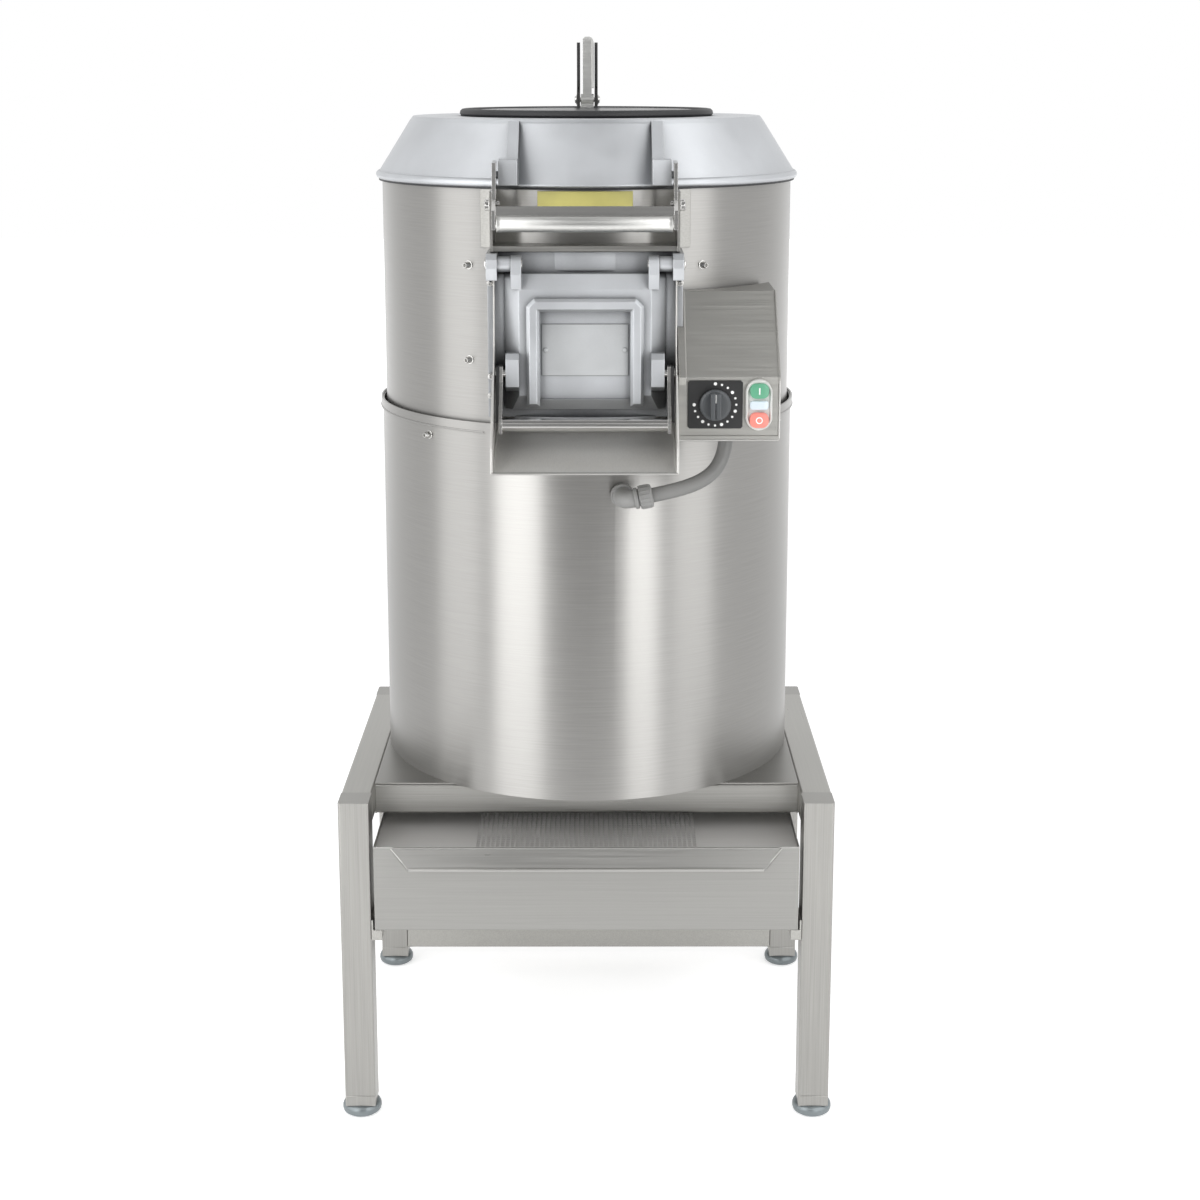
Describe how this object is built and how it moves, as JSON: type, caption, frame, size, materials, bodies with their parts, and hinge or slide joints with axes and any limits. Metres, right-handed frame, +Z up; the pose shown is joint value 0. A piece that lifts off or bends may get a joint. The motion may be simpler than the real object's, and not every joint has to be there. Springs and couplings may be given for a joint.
{
  "type": "electric potato peeler",
  "caption": "Floor-standing electric drum peeler: brushed steel tank on a square-tube stand, bail-locked lid, discharge door, chute, filter drawer and control box.",
  "frame": {"origin": "on the floor at the middle of the object's box: half way between the chute lip and the back of the lid flange, on the middle plane of the stand", "axes": "+Z up; -Y out of the front, where the discharge door is; +X to the right seen from the front"},
  "size_m": [0.569, 0.6115, 1.233],
  "materials": {
    "stand_steel": "brushed",
    "sheet_steel": "brushed",
    "cast_alloy": "satin cast",
    "bright_steel": "polished",
    "abrasive": "grit",
    "rubber": "matt",
    "smoked": "smoked",
    "grey_plastic": "matt",
    "black_plastic": "matt",
    "knob_plastic": "matt",
    "green_plastic": "gloss",
    "red_plastic": "gloss",
    "lens_plastic": "gloss",
    "foot_plastic": "satin",
    "iron": "painted"
  },
  "bodies": {
    "machine": {"legs_front": "stand_steel", "legs_rear": "stand_steel", "side_rails": "stand_steel", "crossbar_front": "stand_steel", "crossbar_rear": "stand_steel", "lower_bar_rear": "stand_steel", "deck_plate": "stand_steel", "drawer_runners": "stand_steel", "lower_casing": "sheet_steel", "casing_base": "sheet_steel", "joint_collar": "sheet_steel", "upper_tank": "sheet_steel", "tank_floor": "sheet_steel", "chute": "sheet_steel", "control_box": "sheet_steel", "motor_plate": "sheet_steel", "drain_pipe": "sheet_steel", "bail_brackets": "sheet_steel", "lid": "cast_alloy", "door_frame": "cast_alloy", "bearing_housing": "cast_alloy", "hatch_hinge_bracket": "bright_steel", "hatch_hinge_pin": "bright_steel", "lid_bail_pivots": "bright_steel", "door_hinge_pin": "bright_steel", "shaft_bearings": "bright_steel", "tank_screws": "bright_steel", "abrasive_liner": "abrasive", "lid_gasket": "rubber", "shaft_seal": "rubber", "drive_belt": "rubber", "conduit": "grey_plastic", "conduit_gland": "grey_plastic", "dial_plate": "black_plastic", "timer": "black_plastic", "pilot_lens": "lens_plastic", "switch_body": "lens_plastic", "levelling_feet": "foot_plastic", "motor": "iron"},
    "drawer": {"drawer_pan": "sheet_steel", "drawer_filter": "sheet_steel"},
    "disc": {"peeling_disc": "abrasive", "main_shaft": "bright_steel", "driven_pulley": "cast_alloy"},
    "motor_rotor": {"driver_pulley": "cast_alloy", "motor_shaft": "bright_steel"},
    "hatch": {"hatch_cover": "smoked", "hatch_rim": "rubber", "hatch_lever": "bright_steel"},
    "lid_bail_body": {"lid_bail": "bright_steel"},
    "door": {"discharge_door": "cast_alloy", "door_seal": "rubber", "door_plate": "bright_steel", "door_bail_pivots": "bright_steel"},
    "door_bail_body": {"door_bail": "bright_steel", "door_bail_pads": "black_plastic"},
    "knob": {"timer_knob": "knob_plastic"},
    "start": {"start_button": "green_plastic"},
    "stop": {"stop_button": "red_plastic"}
  },
  "joints": [
    {"name": "disc_spin", "type": "hinge", "parent": "machine", "child": "disc", "pos_m": [0, 0.0595, 0.81], "axis": [0, 0, 1], "continuous": true},
    {"name": "motor_spin", "type": "hinge", "parent": "machine", "child": "motor_rotor", "pos_m": [0, 0.2245, 0.69], "axis": [0, 0, 1], "continuous": true},
    {"name": "hatch_open", "type": "hinge", "parent": "machine", "child": "hatch", "pos_m": [0, 0.2175, 1.156], "axis": [-1, 0, 0], "range_deg": [0, 90]},
    {"name": "lid_bail_turn", "type": "hinge", "parent": "machine", "child": "lid_bail_body", "pos_m": [0, -0.2045, 1.053], "axis": [1, 0, 0], "range_deg": [0, 50]},
    {"name": "door_open", "type": "hinge", "parent": "machine", "child": "door", "pos_m": [0, -0.2175, 0.992], "axis": [-1, 0, 0], "range_deg": [0, 85]},
    {"name": "door_bail_turn", "type": "hinge", "parent": "door", "child": "door_bail_body", "pos_m": [0, -0.2245, 0.877], "axis": [-1, 0, 0], "range_deg": [0, 55]},
    {"name": "timer_turn", "type": "hinge", "parent": "machine", "child": "knob", "pos_m": [0.1371, -0.2505, 0.846], "axis": [0, 1, 0], "range_deg": [0, 300]},
    {"name": "start_press", "type": "slide", "parent": "machine", "child": "start", "axis": [0, 1, 0], "range_m": [0, 0.003], "stiffness_N_per_m": 400},
    {"name": "stop_press", "type": "slide", "parent": "machine", "child": "stop", "axis": [0, 1, 0], "range_m": [0, 0.003], "stiffness_N_per_m": 400},
    {"name": "drawer_slide", "type": "slide", "parent": "machine", "child": "drawer", "axis": [0, -1, 0], "range_m": [0, 0.3]}
  ],
  "couplings": [
    {"joint": "motor_spin", "follows": "disc_spin", "ratio": 2.8947}
  ]
}
